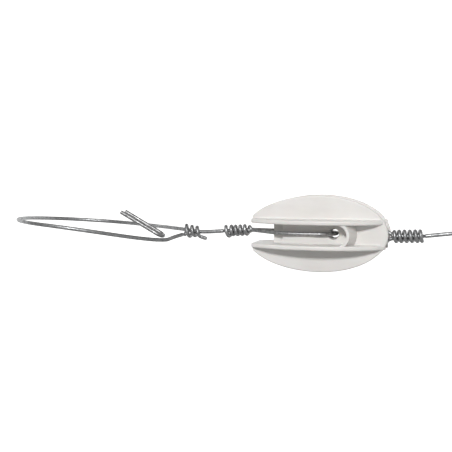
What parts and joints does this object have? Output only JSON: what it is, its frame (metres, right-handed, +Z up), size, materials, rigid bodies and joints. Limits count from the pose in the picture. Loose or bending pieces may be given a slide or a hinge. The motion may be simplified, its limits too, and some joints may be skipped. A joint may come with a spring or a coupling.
{
  "type": "fence strain insulator",
  "caption": "White moulded bullnose strain insulator, tied with wrapped galvanised wire between a fence post loop and a fence wire.",
  "frame": {"origin": "on the post's axis, at the middle of the tie wire's loop", "axes": "+X along the fence from the post to the fence wire, +Z up"},
  "size_m": [0.3439, 0.0914, 0.0486],
  "materials": {
    "insulator_plastic": "satin white moulded polymer",
    "galvanised_wire": "dull galvanised, drawn wire",
    "staple_steel": "galvanised staple"
  },
  "bodies": {
    "post_tie": {"post_tie_eye_loop": "galvanised_wire", "post_tie_wrap": "galvanised_wire", "post_tie_run": "galvanised_wire", "post_tie_end_wrap": "galvanised_wire", "post_loop": "galvanised_wire", "post_staple": "staple_steel"},
    "insulator": {"insulator_body": "insulator_plastic"},
    "line_wire": {"line_wire_eye_loop": "galvanised_wire", "line_wire_wrap": "galvanised_wire", "line_wire_run": "galvanised_wire", "line_end_wrap": "galvanised_wire", "line_end_eye": "galvanised_wire"}
  },
  "joints": [
    {"name": "tie_swivel", "type": "hinge", "parent": "post_tie", "child": "insulator", "pos_m": [0.1732, 0, 0], "axis": [0, 1, 0], "range_deg": [-4, 4]},
    {"name": "line_swivel", "type": "hinge", "parent": "insulator", "child": "line_wire", "pos_m": [0.1528, 0, 0], "axis": [0, 0, 1], "range_deg": [-4, 4]}
  ]
}
